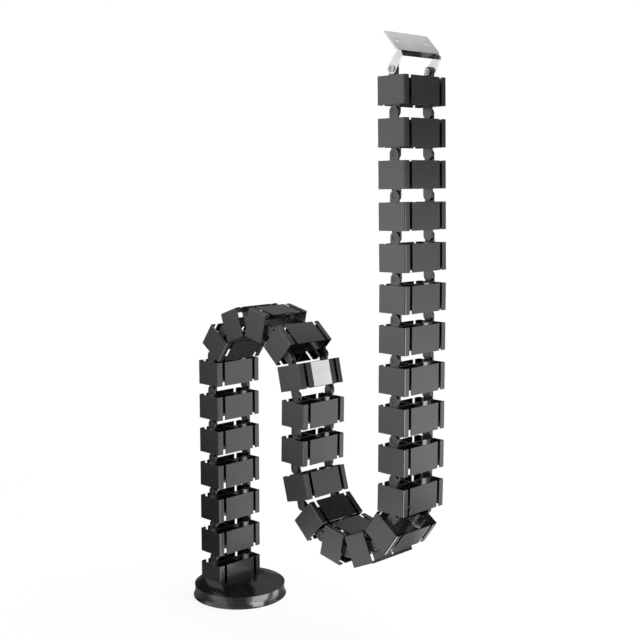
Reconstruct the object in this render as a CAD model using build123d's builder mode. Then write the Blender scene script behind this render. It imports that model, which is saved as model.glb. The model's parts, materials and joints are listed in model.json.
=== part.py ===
from build123d import *

import os
from math import cos, radians, sin

os.makedirs("parts", exist_ok=True)

# All lengths are in millimetres and all angles in degrees.
# The spine stands on its round base, its chain bends in the XZ plane, and every pivot runs along Y.

# The chain
pitch = 41.0
link_width = 65.0
link_depth = 35.0
link_height = 28.0
column_lean = [0] * 7
arch_lean = [35, 70, 103, 132, 167, 181]
turn_lean = [181, 165, 133, 102, 66, 36, 1]
riser_lean = [0] * 5 + [-1.2] * 5
link_lean = column_lean + arch_lean + turn_lean + riser_lean

# One link: a thin skin with four cable slots, and a forked web inside
corner_radius = 1.5
wall = 1.1
slot_width = 4.0
end_wrap = 7.0
web_wall = 1.0
web_height = 27.0
fork_y = 17.0
fork_spread = 5.0

# The hinge ears and their pegs
ear_radius = 5.5
ear_wall = 2.2
ear_inset = 4.2
ear_gap = 0.3
ear_root = 6.0
peg_radius = 2.95
peg_clearance = 0.05
peg_recess = 0.4

# The round base
base_radius = 56.1
rim_set_in = 1.7
rim_height = 14.1
cove_depth = 1.3
plateau_height = 20.6
plateau_margin = 1.6
plateau_front = 12.0
plateau_corner = 9.0
seat_height = 12.4
seat_clearance = 0.3
column_offset = 16.0
pad_set_in = 2.1
pad_thickness = 0.9
pad_stand = 0.3

# The two screws that hold the lowest link down
column_screw_radius = 2.0
column_screw_reach = 10.0
column_screw_head_radius = 3.8
column_screw_head = 2.4
boss_radius = 4.2
boss_height = 12.0
screw_clearance = 0.1

# The steel bracket under the desk top
bracket_lean = 47.0
sheet = 1.5
plate_lip = 2.9
plate_length = 24.5
plate_height = 17.5
plate_corner = 1.5
bracket_back = 7.5
bracket_ear_radius = 5.5
bracket_ear_gap = 0.3
shoulder_radius = 4.0
strip_height = 5.5
plate_hole_radius = 2.5
plate_sink_radius = 3.3
plate_sink_angle = 90
plate_hole_spacing = 45.0

# The pivot screws and nuts of the bracket
screw_head_radius = 3.6
screw_head = 2.2
screw_thread_radius = 1.75
screw_thread = 5.0
nut_across_flats = 6.4
nut_thickness = 2.6

# The blank plate on one link
label_link = 12
label_width = 28.0
label_height = 27.0
label_thickness = 0.6

# Places that follow from the sizes above
pivot_z = pitch / 2
outer_ear_y = link_width / 2 - ear_inset
inner_ear_y = outer_ear_y - ear_wall - ear_gap
skin_y = link_width / 2 - wall
slot_y = link_width / 2 - end_wrap - slot_width / 2
foot_z = seat_height - (pitch - link_height) / 2
column_x = -column_offset
rim_radius = base_radius - rim_set_in
pad_radius = base_radius - pad_set_in
bracket_ear_y = outer_ear_y + bracket_ear_gap + sheet
plate_width = 2 * (bracket_ear_y + plate_lip)


def along(lean):
    """The direction of a link that leans this far from upright towards +X."""
    return Vector(sin(radians(lean)), 0, cos(radians(lean)))


def leaning_plane(origin, lean):
    """A plane whose Z runs along the link and whose Y stays on the pivots."""
    return Plane(origin=origin, x_dir=(cos(radians(lean)), 0, -sin(radians(lean))), z_dir=along(lean))


def ear_plane(side, y):
    """The upright plane at this distance from the middle, with its normal pointing inwards."""
    return Plane(origin=(0, side * y, 0), x_dir=(side, 0, 0), z_dir=(0, -side, 0))


def build_link(is_lowest):
    """One vertebra about its own middle: holed ears on top and pegged ears below."""
    with BuildPart() as link:
        # the skin, parted into two end shells and two broad plates by the cable slots
        with BuildSketch(Plane.XY.offset(-link_height / 2)):
            RectangleRounded(link_depth, link_width, corner_radius)
            Rectangle(link_depth - 2 * wall, link_width - 2 * wall, mode=Mode.SUBTRACT)
            with GridLocations(0, 2 * slot_y, 1, 2):
                Rectangle(link_depth, slot_width, mode=Mode.SUBTRACT)
        extrude(amount=link_height)

        # the web down the middle, its forked ends and the rib that carries the broad plates
        with BuildSketch(Plane.XY.offset(-web_height / 2)):
            Rectangle(web_wall, 2 * fork_y)
            Rectangle(link_depth - wall, web_wall)
            with BuildLine():
                for end in (-1, 1):
                    for side in (-1, 1):
                        Line((0, end * fork_y), (side * fork_spread, end * (skin_y + wall / 2)))
            trace(line_width=web_wall)
        extrude(amount=web_height)

        for side in (-1, 1):
            # the upper ear, rooted in the end wall
            with BuildSketch(ear_plane(side, outer_ear_y)):
                with Locations((0, pivot_z)):
                    Circle(ear_radius)
                with Locations((0, link_height / 2 - ear_root)):
                    Rectangle(
                        2 * ear_radius, pivot_z - link_height / 2 + ear_root, align=(Align.CENTER, Align.MIN)
                    )
                with Locations((0, pivot_z)):
                    Circle(peg_radius + peg_clearance, mode=Mode.SUBTRACT)
            extrude(amount=ear_wall)
            with BuildSketch(ear_plane(side, skin_y + wall / 2)):
                with Locations((0, link_height / 2)):
                    Rectangle(2 * ear_radius, ear_root, align=(Align.CENTER, Align.MAX))
            extrude(amount=skin_y + wall / 2 - outer_ear_y + ear_wall)

            if not is_lowest:
                # the lower ear, with the peg that turns in the link below
                with BuildSketch(ear_plane(side, inner_ear_y)):
                    with Locations((0, -pivot_z)):
                        Circle(ear_radius)
                    with Locations((0, -pivot_z)):
                        Rectangle(
                            2 * ear_radius, pivot_z - link_height / 2, align=(Align.CENTER, Align.MIN)
                        )
                extrude(amount=ear_wall)
                with BuildSketch(ear_plane(side, outer_ear_y - peg_recess)):
                    with Locations((0, -pivot_z)):
                        Circle(peg_radius)
                extrude(amount=outer_ear_y - peg_recess - inner_ear_y + ear_wall / 2)
                with BuildSketch(ear_plane(side, skin_y + wall / 2)):
                    with Locations((0, -link_height / 2)):
                        Rectangle(2 * ear_radius, ear_root, align=(Align.CENTER, Align.MIN))
                extrude(amount=skin_y + wall / 2 - inner_ear_y + ear_wall)

        if is_lowest:
            # two bosses that take the screws from under the base
            with BuildSketch(Plane.XY.offset(-link_height / 2)):
                with GridLocations(0, 2 * fork_y, 1, 2):
                    Circle(boss_radius)
            extrude(amount=boss_height)
            with BuildSketch(Plane.XY.offset(-link_height / 2)):
                with GridLocations(0, 2 * fork_y, 1, 2):
                    Circle(column_screw_radius + screw_clearance)
            extrude(amount=column_screw_reach + screw_clearance, mode=Mode.SUBTRACT)
    return link.part


def save(part, name):
    """Labels a finished piece and writes it to its own file."""
    part.label = name
    export_step(part, f"parts/{name}.step")


# The chain, laid from the seat in the base to the bracket
lowest_link = build_link(True)
upper_link = build_link(False)
pivot = Vector(column_x, 0, foot_z)
for number, lean in enumerate(link_lean, start=1):
    middle = pivot + along(lean) * (pitch / 2)
    place = Location(leaning_plane(middle, lean))
    form = lowest_link if number == 1 else upper_link
    save(form.moved(place), f"link_{number:02d}")
    if number == label_link:
        # the blank plate covers the middle of the broad plate that faces outwards on the arch's way down
        with BuildPart(leaning_plane(middle, lean)) as label_plate:
            with Locations((-link_depth / 2 - label_thickness / 2, 0, 0)):
                Box(label_thickness, label_width, label_height)
        save(label_plate.part, "label_plate")
    pivot = pivot + along(lean) * pitch
top_pivot = pivot

# The heavy base: a coved rim, a shallow top that rises to a flat, and a seat for the lowest link
with BuildPart() as base_plate:
    with BuildSketch(Plane.XZ):
        with BuildLine():
            cove = ThreePointArc(
                (base_radius, pad_stand),
                ((base_radius + rim_radius) / 2 - cove_depth, (pad_stand + rim_height) / 2),
                (rim_radius, rim_height),
            )
            Polyline(
                cove @ 1,
                (0, rim_height),
                (0, pad_thickness),
                (pad_radius + seat_clearance, pad_thickness),
                (pad_radius + seat_clearance, pad_stand),
                cove @ 0,
            )
        make_face()
    revolve(axis=Axis.Z)
    with BuildSketch(Plane.XY.offset(rim_height)):
        Circle(rim_radius)
    with BuildSketch(Plane.XY.offset(plateau_height)):
        plateau_back = column_x - link_depth / 2 - plateau_margin
        plateau_tip = column_x + link_depth / 2 + plateau_front
        with Locations(((plateau_back + plateau_tip) / 2, 0)):
            RectangleRounded(
                plateau_tip - plateau_back, link_width + 2 * plateau_margin, plateau_corner
            )
    loft()
    with BuildSketch(Plane.XY.offset(seat_height)):
        with Locations((column_x, 0)):
            RectangleRounded(
                link_depth + 2 * seat_clearance,
                link_width + 2 * seat_clearance,
                corner_radius + seat_clearance,
            )
    extrude(amount=plateau_height, mode=Mode.SUBTRACT)
    with Locations(Plane(origin=(column_x, 0, pad_thickness), x_dir=(1, 0, 0), z_dir=(0, 0, -1))):
        with GridLocations(0, 2 * fork_y, 1, 2):
            CounterBoreHole(
                column_screw_radius + screw_clearance,
                column_screw_head_radius + screw_clearance,
                column_screw_head + screw_clearance,
                depth=seat_height - pad_thickness,
            )
save(base_plate.part, "base_plate")

with BuildPart() as foot_pad:
    Cylinder(pad_radius, pad_thickness, align=(Align.CENTER, Align.CENTER, Align.MIN))
save(foot_pad.part, "foot_pad")

with BuildPart() as column_screws:
    with Locations((column_x, 0, pad_thickness + screw_clearance)):
        with GridLocations(0, 2 * fork_y, 1, 2):
            Cylinder(
                column_screw_head_radius,
                column_screw_head,
                align=(Align.CENTER, Align.CENTER, Align.MIN),
            )
            Cylinder(
                column_screw_radius,
                seat_height - pad_thickness + column_screw_reach - screw_clearance,
                align=(Align.CENTER, Align.CENTER, Align.MIN),
            )
save(column_screws.part, "column_screws")

# The bracket, about the top pivot: a plate for the desk, a strip across its bend and two ears
bracket_place = leaning_plane(top_pivot, bracket_lean)
with BuildPart() as bracket_form:
    with BuildSketch(Plane.XY.offset(plate_height)):
        with Locations((-bracket_back - plate_length / 2, 0)):
            RectangleRounded(plate_length, plate_width, plate_corner)
    extrude(amount=sheet)
    with BuildSketch(Plane.XY.offset(plate_height - strip_height)):
        with Locations((-bracket_back + sheet / 2, 0)):
            Rectangle(sheet, 2 * bracket_ear_y)
    extrude(amount=strip_height + sheet)
    for side in (-1, 1):
        with BuildSketch(ear_plane(side, bracket_ear_y)):
            Circle(bracket_ear_radius)
            with Locations((-side * (bracket_back - shoulder_radius), plate_height + sheet - shoulder_radius)):
                Circle(shoulder_radius)
            with Locations((-side * (bracket_back - sheet / 2), plate_height + sheet)):
                Rectangle(sheet, strip_height + sheet, align=(Align.CENTER, Align.MAX))
            make_hull()
            Circle(peg_radius + peg_clearance, mode=Mode.SUBTRACT)
        extrude(amount=sheet)
    # the screw heads sink into the side away from the desk
    plate_middle = (-bracket_back - plate_length / 2, 0, plate_height)
    with Locations(Plane(origin=plate_middle, x_dir=(1, 0, 0), z_dir=(0, 0, -1))):
        with GridLocations(0, plate_hole_spacing, 1, 2):
            CounterSinkHole(plate_hole_radius, plate_sink_radius, sheet, plate_sink_angle)
save(bracket_form.part.moved(Location(bracket_place)), "bracket")

nut_y = outer_ear_y - ear_wall - bracket_ear_gap
with BuildPart() as pivot_screw_form:
    for side in (-1, 1):
        with BuildSketch(ear_plane(side, bracket_ear_y + screw_head)):
            Circle(screw_head_radius)
        extrude(amount=screw_head)
        with BuildSketch(ear_plane(side, bracket_ear_y)):
            Circle(peg_radius)
        extrude(amount=bracket_ear_y - nut_y)
        with BuildSketch(ear_plane(side, nut_y)):
            Circle(screw_thread_radius)
        extrude(amount=screw_thread)
save(pivot_screw_form.part.moved(Location(bracket_place)), "pivot_screws")

with BuildPart() as pivot_nut_form:
    for side in (-1, 1):
        with BuildSketch(ear_plane(side, nut_y)):
            RegularPolygon(nut_across_flats / 2, 6, major_radius=False)
            Circle(screw_thread_radius + screw_clearance, mode=Mode.SUBTRACT)
        extrude(amount=nut_thickness)
save(pivot_nut_form.part.moved(Location(bracket_place)), "pivot_nuts")
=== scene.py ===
import json
from math import cos, pi, radians, sin

import bmesh
import bpy
from mathutils import Matrix, Vector


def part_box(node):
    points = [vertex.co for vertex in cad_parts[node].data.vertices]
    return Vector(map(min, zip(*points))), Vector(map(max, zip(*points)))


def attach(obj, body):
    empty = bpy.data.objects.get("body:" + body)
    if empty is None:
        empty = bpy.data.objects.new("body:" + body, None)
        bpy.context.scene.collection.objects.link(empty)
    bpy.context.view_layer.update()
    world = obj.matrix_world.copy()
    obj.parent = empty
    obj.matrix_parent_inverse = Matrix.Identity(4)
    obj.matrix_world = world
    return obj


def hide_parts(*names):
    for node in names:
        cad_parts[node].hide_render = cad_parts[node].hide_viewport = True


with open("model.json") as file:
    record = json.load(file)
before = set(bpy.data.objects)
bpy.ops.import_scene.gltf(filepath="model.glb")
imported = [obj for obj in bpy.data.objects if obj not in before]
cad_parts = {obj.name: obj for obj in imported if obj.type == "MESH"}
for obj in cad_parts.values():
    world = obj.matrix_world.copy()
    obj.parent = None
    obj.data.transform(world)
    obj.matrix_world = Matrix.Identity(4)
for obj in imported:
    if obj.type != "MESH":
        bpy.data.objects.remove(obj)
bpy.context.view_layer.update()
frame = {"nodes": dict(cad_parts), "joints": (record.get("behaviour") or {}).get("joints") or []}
scene = bpy.context.scene

# All lengths below are in metres and all angles in degrees, unless a comment says otherwise.

# The photograph's camera. Its picture is a square of so many pixels, and its sensor's width is in
# millimetres
image_side = 640
focal_pixels = 1136.4
sensor_width = 36.0
camera_azimuth = 44.3
camera_elevation = 7.25
camera_distance = 1.2452
camera_target = Vector((0.1360, 0.0, 0.3464))
nearest_seen = 0.05
furthest_seen = 50.0

# The rounded edges of moulded, pressed and painted pieces
moulded_edge = 0.0003
pressed_edge = 0.00025
painted_edge = 0.0006
edge_segments = 2

# Faces that turn by less than the flat angle become one, and an edge is rounded from the sharp
# angle on
flat_angle = 0.5
sharp_angle = 30
weld_distance = 0.000002

# The raised rims on the pegs' ends, seen in the holes of the ears: a peg ends a little behind the
# ear's outer face. The section gives each point's share of the way from the outer to the inner
# radius, and its share of the rise
rim_outer = 0.00285
rim_inner = 0.0015
rim_rise = 0.0003
rim_section = ((0, 0), (0, 0.55), (0.2, 0.9), (0.5, 1), (0.8, 0.9), (1, 0.4), (1, 0), (0, 0))
rim_sides = 40
rim_smooth_angle = 40
rim_weld_distance = 0.000001
ear_face_y = 0.0283
peg_recess = 0.0004

# The bracket's pivot screws, seated where the heads of the CAD's plain screws are. The head's dome
# is part of an ellipse: its half height is a share of the head's height, and it ends at that angle
# from the top. The thread's section gives each point's share of the pitch and of the depth
screw_head_radius = 0.0036
screw_head_height = 0.0021
screw_head_chamfer = 0.0001
screw_dome_half_height = 0.55
screw_dome_angle = 72
screw_dome_steps = 8
screw_shank_radius = 0.00295
screw_shank_length = 0.0043
screw_thread_radius = 0.00175
screw_thread_depth = 0.00022
screw_thread_pitch = 0.0007
screw_thread_turns = 7
screw_thread_section = ((0.1, 1), (0.5, 0), (0.9, 1))
screw_sides = 48
screw_smooth_angle = 35
cad_head_height = 0.0022

# The cross in a screw's head, its size at the cutter's bottom and top as shares of its full size,
# and how far it is turned
cross_length = 0.0044
cross_width = 0.0010
cross_depth = 0.0013
cross_bottom_size = 0.55
cross_top_size = 1.3
cross_turn = 20

# Other pieces made here are shaded smooth up to this angle
smooth_angle = 30

# The stretch in which most of a noise lies, which is spread over a material's range
noise_middle = (0.3, 0.7)

# The floor is plain white beyond the shadow span. Before it, only this share of it is plain white,
# and the rest is shaded, so that it shows the object's shadow
floor_size = 12.0
floor_tone = 0.92
floor_white_share = 0.85
shadow_span = (0.35, 0.9)

# The round wall that glossy surfaces reflect, which glows with painted reflections though it is no
# lamp, and the even light on everything
wall_radius = 1.5
wall_height = 3.0
wall_sides = 96
world_light = 0.85

# Painted reflections: how bright the glow seen in reflections is in each direction, as (degrees
# from
# +X towards +Y, level). It is given on the floor beside the base, partly darker there as painted
# shade of the base's shadow, and further out, and at the foot, the middle and the top of the wall.
# The colour ramps hold these levels as shares of the peak
painted_reflection_peak = 5.0
near_floor_painted_reflection = (
    (0, 4.6), (5, 4.4), (10, 1.3), (15, 0.5), (21, 2.3), (29, 2.5), (37, 0.3), (50, 0.15),
    (60, 0.3), (110, 0.1), (205, 0.1), (216, 0.1), (231, 0.18), (247, 0.16), (257, 0.18),
    (265, 0.5), (274, 1.15), (289, 1.2), (299, 0.5), (312, 0.3), (326, 0.3), (335, 1.2),
    (342, 4.4), (360, 4.6),
)
far_floor_painted_reflection = (
    (0, 4.6), (12, 4.4), (17, 0.3), (31, 0.1), (36, 0.8), (40, 1.25), (50, 1.2), (57, 0.15),
    (110, 0.1), (200, 0.03), (224, 0.05), (231, 0.1), (237, 0.2), (246, 0.4), (255, 0.8),
    (268, 1.05), (284, 1.0), (298, 0.4), (338, 0.3), (344, 4.4), (360, 4.6),
)
low_painted_reflection = (
    (0, 4.6), (12, 4.4), (18, 0.5), (28, 0.6), (36, 1.15), (42, 1.3), (50, 1.2), (58, 0.15),
    (105, 0.5), (118, 0.15), (130, 0.17), (170, 0.05), (205, 0.08), (216, 0.12), (221, 0.18),
    (228, 0.62), (238, 0.95), (247, 0.95), (256, 1.1), (284, 1.0), (298, 0.4), (318, 0.28),
    (338, 0.35), (344, 4.4), (360, 4.6),
)
middle_painted_reflection = (
    (0, 0.5), (28, 0.45), (35, 0.9), (40, 0.8), (46, 0.6), (56, 1.0), (66, 0.4), (80, 0.25),
    (110, 0.7), (120, 0.25), (128, 0.04), (170, 0.03), (205, 0.1), (216, 0.2), (224, 0.6),
    (232, 1.4), (240, 1.6), (250, 1.1), (284, 1.05), (292, 0.4), (310, 0.28), (330, 0.28),
    (342, 0.5), (360, 0.5),
)
high_painted_reflection = (
    (0, 0.5), (30, 0.22), (42, 0.15), (60, 0.02), (82, 0.06), (88, 1.3), (104, 1.3), (112, 0.3),
    (120, 0.12), (130, 0.22), (140, 0.03), (165, 0.03), (205, 0.8), (226, 1.2), (234, 1.0),
    (285, 1.0), (310, 0.5), (340, 0.4), (360, 0.5),
)

# One of those gives way to the next between these distances from the middle of the floor, and
# between these heights on the wall
near_to_floor = (0.13, 0.20)
floor_to_low = (0.40, 1.40)
low_to_middle = (0.0, 0.30)
middle_to_high = (0.34, 0.66)


def place_camera():
    """A camera at the photograph's viewing angle and distance."""
    azimuth = radians(camera_azimuth)
    elevation = radians(camera_elevation)
    across = cos(elevation)
    back = Vector((sin(azimuth) * across, -cos(azimuth) * across, sin(elevation)))
    data = bpy.data.cameras.new("photo_camera")
    data.sensor_width = sensor_width
    data.lens = focal_pixels / image_side * sensor_width
    data.clip_start = nearest_seen
    data.clip_end = furthest_seen
    camera = bpy.data.objects.new("photo_camera", data)
    camera.location = camera_target + back * camera_distance
    camera.rotation_mode = "QUATERNION"
    camera.rotation_quaternion = (-back).to_track_quat("-Z", "Y")
    scene.collection.objects.link(camera)
    scene.camera = camera


class Nodes:
    """A node tree that starts with its output alone, with short ways to add and join nodes."""

    def __init__(self, owner, output):
        owner.use_nodes = True
        self.tree = owner.node_tree
        self.tree.nodes.clear()
        self.output = self.node(output)

    def put(self, target, source):
        """Joins a socket to that input, or sets the input's value."""
        if isinstance(source, bpy.types.NodeSocket):
            self.tree.links.new(source, target)
        else:
            target.default_value = source

    def node(self, kind, inputs=None, **settings):
        """Adds a node with those settings, and puts a socket or a value on each input named."""
        made = self.tree.nodes.new(kind)
        for name, setting in settings.items():
            setattr(made, name, setting)
        for name, source in (inputs or {}).items():
            self.put(made.inputs[name], source)
        return made

    def math(self, operation, *sources):
        made = self.node("ShaderNodeMath", dict(enumerate(sources)), operation=operation)
        return made.outputs["Value"]

    def mixed(self, share, first, second):
        """A mix of two shaders, with the share of the second."""
        return self.node("ShaderNodeMixShader", {"Fac": share, 1: first, 2: second}).outputs[0]

    def ranged(self, source, span, ends, smooth=False):
        """Maps the span of the source onto the range between those ends."""
        inputs = {"Value": source, "From Min": span[0], "From Max": span[1]}
        inputs.update({"To Min": ends[0], "To Max": ends[1]})
        kind = "SMOOTHSTEP" if smooth else "LINEAR"
        return self.node("ShaderNodeMapRange", inputs, interpolation_type=kind).outputs["Result"]

    def crossing(self, source, span, before, after):
        """Gives way from one level to the other while the source passes that span."""
        share = self.ranged(source, span, (0.0, 1.0), smooth=True)
        kept = self.math("MULTIPLY", before, self.math("SUBTRACT", 1.0, share))
        return self.math("MULTIPLY_ADD", after, share, kept)

    def colours(self, source, stops, smooth=False):
        """A colour ramp with stops of (place, colour)."""
        made = self.node("ShaderNodeValToRGB", {"Fac": source})
        ramp = made.color_ramp
        if smooth:
            ramp.interpolation = "EASE"
        while len(ramp.elements) < len(stops):
            ramp.elements.new(0.5)
        for element, (place, colour) in zip(ramp.elements, stops):
            element.position = place
            element.color = (*colour, 1.0)
        return made.outputs["Color"]

    def noise(self, scale, detail, stretch=(1, 1, 1)):
        """Noise in the object's own metres: scale 1000 gives grains of about a millimetre."""
        position = self.node("ShaderNodeTexCoord").outputs["Object"]
        mapping = self.node("ShaderNodeMapping", {"Vector": position, "Scale": stretch})
        inputs = {"Vector": mapping.outputs["Vector"], "Scale": scale, "Detail": detail}
        return self.node("ShaderNodeTexNoise", inputs).outputs["Fac"]

    def painted_reflection_levels(self, *rings):
        """The position and the height, and each ring's level of painted reflection in that
        direction from the middle.
        """
        position = self.node("ShaderNodeTexCoord").outputs["Object"]
        parts = self.node("ShaderNodeSeparateXYZ", {0: position}).outputs
        angle = self.math("ARCTAN2", parts["Y"], parts["X"])
        turn = self.math("FRACT", self.math("DIVIDE", angle, 2 * pi))
        painted_levels = []
        for ring in rings:
            stops = [(degree / 360, [painted_level / painted_reflection_peak] * 3) for degree, painted_level in ring]
            share = self.colours(turn, stops, smooth=True)
            painted_levels.append(self.math("MULTIPLY", share, painted_reflection_peak))
        return position, parts["Z"], painted_levels

    def emission(self, strength):
        return self.node("ShaderNodeEmission", {"Strength": strength}).outputs["Emission"]

    def background(self, strength):
        inputs = {"Strength": strength, "Color": (1, 1, 1, 1)}
        return self.node("ShaderNodeBackground", inputs).outputs["Background"]


class Shader(Nodes):
    """The node tree of a new material."""

    def __init__(self, name):
        self.material = bpy.data.materials.new(name)
        super().__init__(self.material, "ShaderNodeOutputMaterial")

    def finish(self, surface):
        self.put(self.output.inputs["Surface"], surface)
        return self.material


def look(name, tone, grain, bumps, roughness, metallic=0.0, ior=1.5, coat=0.0, coat_roughness=0.1):
    """A material whose colour and roughness wander a little, with bumps on top of each other.

    The tone is a noise and the (place, colour) stops of its ramp, the grain a noise and the lowest
    and the highest roughness, and each bump a noise and its height in metres. A noise is given as
    (scale, detail), or as (scale, detail, stretch).
    """
    m = Shader(name)
    inputs = {"Roughness": roughness, "Metallic": metallic, "IOR": ior}
    inputs.update({"Coat Weight": coat, "Coat Roughness": coat_roughness})
    shader = m.node("ShaderNodeBsdfPrincipled", inputs)
    noise, *stops = tone
    m.put(shader.inputs["Base Color"], m.colours(m.noise(*noise), stops))
    noise, lowest, highest = grain
    wandering = m.ranged(m.noise(*noise), noise_middle, (lowest, highest))
    m.put(shader.inputs["Roughness"], wandering)
    below = {}
    for noise, height in bumps:
        inputs = {"Strength": 1.0, "Distance": height, "Height": m.noise(*noise), **below}
        below = {"Normal": m.node("ShaderNodeBump", inputs).outputs["Normal"]}
    m.put(shader.inputs["Normal"], below["Normal"])
    return m.finish(shader.outputs["BSDF"])


def dress(node, material, edge):
    """Gives a CAD node its material and rounds its sharp edges by that much."""
    piece = frame["nodes"][node]
    piece.data.materials.clear()
    piece.data.materials.append(material)
    weld = piece.modifiers.new("weld", "WELD")
    weld.merge_threshold = weld_distance
    flat = piece.modifiers.new("flat_faces", "DECIMATE")
    flat.decimate_type = "DISSOLVE"
    flat.angle_limit = radians(flat_angle)
    bevel = piece.modifiers.new("rounded_edges", "BEVEL")
    bevel.width = edge
    bevel.segments = edge_segments
    bevel.limit_method = "ANGLE"
    bevel.angle_limit = radians(sharp_angle)
    bevel.use_clamp_overlap = True
    bevel.harden_normals = True
    even = piece.modifiers.new("even_shading", "WEIGHTED_NORMAL")
    even.keep_sharp = True


def skin(form, lower, upper):
    """Spans faces between two rings of as many points; either may be a single point instead."""
    for k in range(max(len(lower), len(upper))):
        corners = [lower[k % len(lower)], lower[(k + 1) % len(lower)]]
        corners += [upper[(k + 1) % len(upper)], upper[k % len(upper)]]
        form.faces.new(list(dict.fromkeys(corners)))


def turned(form, profile, sides, place):
    """Adds a body turned from a profile of (radius, height) points about Z, moved to its place."""
    rings = []
    for radius, height in profile:
        turns = [2 * pi * k / sides for k in range(sides)] if radius else [0]
        points = [Vector((radius * cos(turn), radius * sin(turn), height)) for turn in turns]
        rings.append([form.verts.new(place @ point) for point in points])
    for lower, upper in zip(rings, rings[1:]):
        skin(form, lower, upper)


def finished(form, name, material, angle=smooth_angle):
    """Makes a piece from a bmesh, shaded smooth up to that angle."""
    bmesh.ops.recalc_face_normals(form, faces=form.faces)
    mesh = bpy.data.meshes.new(name)
    form.to_mesh(mesh)
    form.free()
    mesh.materials.append(material)
    mesh.shade_smooth()
    mesh.set_sharp_from_angle(angle=radians(angle))
    piece = bpy.data.objects.new(name, mesh)
    scene.collection.objects.link(piece)
    return piece


def facing(side, x, y, z):
    """A place at that point whose Z points outwards along Y on that side."""
    return Matrix.Translation((x, side * y, z)) @ Matrix.Rotation(-side * pi / 2, 4, "X")


def peg_rims(joint, material):
    """The raised rims on the ends of a link's two pegs."""
    x, _, z = joint["pos_m"]
    width = rim_outer - rim_inner
    profile = [(rim_outer - width * inward, rim_rise * rise) for inward, rise in rim_section]
    form = bmesh.new()
    for side in (-1, 1):
        turned(form, profile, rim_sides, facing(side, x, ear_face_y - peg_recess, z))
    bmesh.ops.remove_doubles(form, verts=form.verts, dist=rim_weld_distance)
    piece = finished(form, f"peg_rims_{joint['name'][-2:]}", material, rim_smooth_angle)
    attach(piece, joint["child"])


def cross_cutter():
    """The cross that is pressed into a screw's head, narrowing towards its bottom."""
    arm = cross_length / 2
    half = cross_width / 2
    outline = []
    for quarter in range(4):
        turn = Matrix.Rotation(quarter * pi / 2, 2)
        outline += [turn @ Vector(corner) for corner in ((arm, -half), (arm, half), (half, half))]
    bottom = (screw_head_height - cross_depth, cross_bottom_size)
    top = (screw_head_height + cross_depth, cross_top_size)
    form = bmesh.new()
    rings = []
    for z, size in (bottom, top):
        rings.append([form.verts.new((x * size, y * size, z)) for x, y in outline])
    skin(form, *rings)
    form.faces.new(rings[0][::-1])
    form.faces.new(rings[1])
    return form


def screw_form():
    """One pivot screw about Z: a domed head at the top, a plain shank and a ridged thread."""
    profile = [(0, screw_head_height)]
    for k in range(1, screw_dome_steps + 1):
        turn = k / screw_dome_steps * radians(screw_dome_angle)
        radius = screw_head_radius * sin(turn) / sin(radians(screw_dome_angle))
        profile.append((radius, screw_head_height * (1 - screw_dome_half_height * (1 - cos(turn)))))
    profile.append((screw_head_radius, screw_head_chamfer))
    profile.append((screw_head_radius - screw_head_chamfer, 0))
    profile.append((screw_shank_radius, 0))
    profile.append((screw_shank_radius, -screw_shank_length))
    for k in range(screw_thread_turns):
        for share, sunk in screw_thread_section:
            height = -screw_shank_length - (k + share) * screw_thread_pitch
            profile.append((screw_thread_radius - sunk * screw_thread_depth, height))
    profile.append((0, -screw_shank_length - screw_thread_turns * screw_thread_pitch))
    form = bmesh.new()
    turned(form, profile, screw_sides, Matrix.Identity(4))
    return form


def pivot_screws(material):
    """The two screws that the bracket turns on, each with a cross recess in its head."""
    cutter = finished(cross_cutter(), "cross_cutter", material)
    screw = finished(screw_form(), "screw_blank", material, screw_smooth_angle)
    cut = screw.modifiers.new("cross", "BOOLEAN")
    cut.operation = "DIFFERENCE"
    cut.solver = "EXACT"
    cut.object = cutter
    bpy.context.view_layer.update()
    graph = bpy.context.evaluated_depsgraph_get()
    carved = bpy.data.meshes.new_from_object(screw.evaluated_get(graph))
    carved.transform(Matrix.Rotation(radians(cross_turn), 4, "Z"))
    low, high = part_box("pivot_screws")
    middle = (low + high) / 2
    form = bmesh.new()
    for side in (-1, 1):
        copy = carved.copy()
        copy.transform(facing(side, middle.x, high.y - cad_head_height, middle.z))
        form.from_mesh(copy)
    bpy.data.objects.remove(cutter)
    bpy.data.objects.remove(screw)
    piece = finished(form, "cross_head_screws", material, screw_smooth_angle)
    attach(piece, "bracket")
    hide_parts("pivot_screws")


def build_floor():
    """A white floor that takes the object's shadow; glossy surfaces see painted reflections glowing
    in it instead, partly darker beside the base as painted shade.
    """
    bpy.ops.mesh.primitive_plane_add(size=floor_size, location=(0, 0, 0))
    floor = bpy.context.object
    floor.name = "floor"
    m = Shader("floor_and_painted_reflection_look")
    position, _, (near, further, low) = m.painted_reflection_levels(near_floor_painted_reflection, far_floor_painted_reflection, low_painted_reflection)
    colour = {"Color": (floor_tone, floor_tone, floor_tone, 1)}
    shaded = m.node("ShaderNodeBsdfDiffuse", colour).outputs["BSDF"]
    length = m.node("ShaderNodeVectorMath", {0: position}, operation="LENGTH")
    distance = length.outputs["Value"]
    white_share = m.ranged(distance, shadow_span, (floor_white_share, 1.0), smooth=True)
    path = m.node("ShaderNodeLightPath").outputs
    white = m.math("MULTIPLY", path["Is Camera Ray"], white_share)
    seen = m.mixed(white, shaded, m.emission(1.0))
    # Glossy and transmission rays see a glow of painted reflections here instead of the lit floor,
    # partly darker beside the base as painted shade
    painted_level = m.crossing(distance, near_to_floor, near, further)
    painted_level = m.crossing(distance, floor_to_low, painted_level, low)
    mirrored = m.math("MAXIMUM", path["Is Glossy Ray"], path["Is Transmission Ray"])
    floor.data.materials.append(m.finish(m.mixed(mirrored, seen, m.emission(painted_level))))


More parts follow.
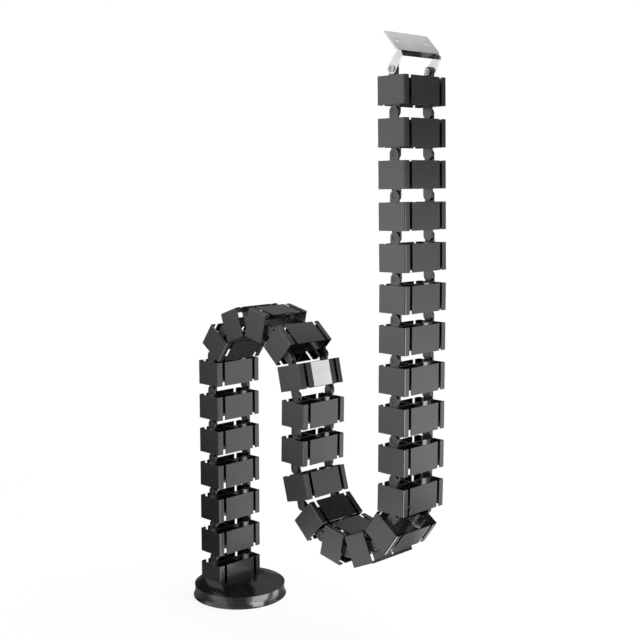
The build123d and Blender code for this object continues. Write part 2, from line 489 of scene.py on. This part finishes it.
def build_painted_reflection_wall():
    """A round wall seen in reflections only, which glows though it is no lamp: painted reflections
    of soft light between darker stretches.
    """
    form = bmesh.new()
    turned(form, [(wall_radius, 0.0), (wall_radius, wall_height)], wall_sides, Matrix.Identity(4))
    m = Shader("painted_reflection_wall_look")
    _, height, (low, middle, high) = m.painted_reflection_levels(low_painted_reflection, middle_painted_reflection, high_painted_reflection)
    # The wall's glow is painted reflection, bright and dark by direction and height, and lights
    # nothing else
    painted_level = m.crossing(height, low_to_middle, low, middle)
    painted_level = m.crossing(height, middle_to_high, painted_level, high)
    wall = finished(form, "painted_reflection_wall", m.finish(m.emission(painted_level)))
    wall.visible_camera = False
    wall.visible_diffuse = False
    wall.visible_transmission = False
    wall.visible_volume_scatter = False
    wall.visible_shadow = False


def light_world():
    """A white backdrop for the camera and for reflections, and a soft even light for the rest."""
    world = bpy.data.worlds.new("studio")
    scene.world = world
    m = Nodes(world, "ShaderNodeOutputWorld")
    path = m.node("ShaderNodeLightPath").outputs
    seen = m.math("MAXIMUM", path["Is Camera Ray"], path["Is Glossy Ray"])
    seen = m.math("MAXIMUM", seen, path["Is Transmission Ray"])
    backdrop = m.background(1.0)
    m.put(m.output.inputs["Surface"], m.mixed(seen, m.background(world_light), backdrop))


def softbox(name, azimuth, distance, height, width, tall, power, aim):
    """A soft light of that power in watts, seen from the origin at that azimuth from +X to +Y."""
    data = bpy.data.lights.new(name, "AREA")
    data.shape = "RECTANGLE"
    data.size = width
    data.size_y = tall
    data.energy = power
    lamp = bpy.data.objects.new(name, data)
    turn = radians(azimuth)
    lamp.location = (distance * cos(turn), distance * sin(turn), height)
    lamp.rotation_mode = "QUATERNION"
    lamp.rotation_quaternion = (Vector(aim) - lamp.location).to_track_quat("-Z", "Y")
    lamp.visible_camera = False
    scene.collection.objects.link(lamp)
    return lamp


place_camera()
build_floor()
build_painted_reflection_wall()
light_world()
softbox(
    "window_softbox", azimuth=3, distance=1.2, height=0.25, width=0.60, tall=0.46, power=4.0,
    aim=(0.05, 0, 0.2),
)
overhead = softbox(
    "top_softbox", azimuth=60, distance=0.5, height=1.60, width=1.2, tall=1.2, power=10,
    aim=(0.13, 0, 0.2),
)
overhead.visible_glossy = False

# Black moulded plastic: a satin sheen, a very fine grain and faint unevenness
plastic = look(
    "link_plastic_look",
    tone=((90, 3), (0.35, (0.0072, 0.0074, 0.0078)), (0.65, (0.0098, 0.0098, 0.0101))),
    grain=((220, 4), 0.24, 0.28),
    bumps=[((40, 1), 0.00002), ((2500, 2), 0.0000008)],
    roughness=0.26, ior=1.58, coat=1.0, coat_roughness=0.2,
)

# Glossy black enamel on the heavy base, with a faint orange peel
enamel = look(
    "base_paint_look",
    tone=((40, 3), (0.35, (0.0050, 0.0051, 0.0054)), (0.65, (0.0066, 0.0066, 0.0069))),
    grain=((120, 4), 0.13, 0.20),
    bumps=[((500, 2), 0.000004)],
    roughness=0.16, coat=0.8, coat_roughness=0.06,
)

# Dark grey rubber with a matt, slightly dusty skin
rubber = look(
    "foot_rubber_look",
    tone=((300, 5), (0.35, (0.02, 0.02, 0.021)), (0.7, (0.035, 0.035, 0.036))),
    grain=((900, 3), 0.78, 0.92),
    bumps=[((2500, 3), 0.00003)],
    roughness=0.85, ior=1.45,
)

# Bright zinc-plated sheet steel, with faint rolling marks along its width
steel = look(
    "bracket_steel_look",
    tone=((60, 4), (0.35, (0.66, 0.665, 0.675)), (0.65, (0.74, 0.74, 0.745))),
    grain=((250, 5, (4, 0.3, 4)), 0.16, 0.25),
    bumps=[((900, 3, (3, 0.15, 3)), 0.0000008)],
    roughness=0.2, metallic=1.0,
)

# Zinc-plated screws, a little duller than the bracket
zinc = look(
    "zinc_screw_look",
    tone=((500, 4), (0.35, (0.50, 0.51, 0.53)), (0.65, (0.64, 0.64, 0.65))),
    grain=((900, 4), 0.2, 0.34),
    bumps=[((1800, 3), 0.000003)],
    roughness=0.25, metallic=1.0,
)

# A plain white plastic plate with a faint linen grain
white_plastic = look(
    "label_white_look",
    tone=((120, 4), (0.35, (0.74, 0.74, 0.74)), (0.65, (0.78, 0.78, 0.78))),
    grain=((400, 4), 0.38, 0.48),
    bumps=[((1500, 3), 0.000006)],
    roughness=0.42, ior=1.45,
)

for node in frame["nodes"]:
    if node.startswith("link_"):
        dress(node, plastic, moulded_edge)
for joint in frame["joints"]:
    if joint["name"].startswith("pivot_"):
        peg_rims(joint, plastic)
dress("base_plate", enamel, painted_edge)
dress("foot_pad", rubber, moulded_edge)
dress("bracket", steel, pressed_edge)
for node in ("column_screws", "pivot_nuts"):
    dress(node, zinc, pressed_edge)
pivot_screws(zinc)
dress("label_plate", white_plastic, pressed_edge)

scene.view_settings.view_transform = "Standard"
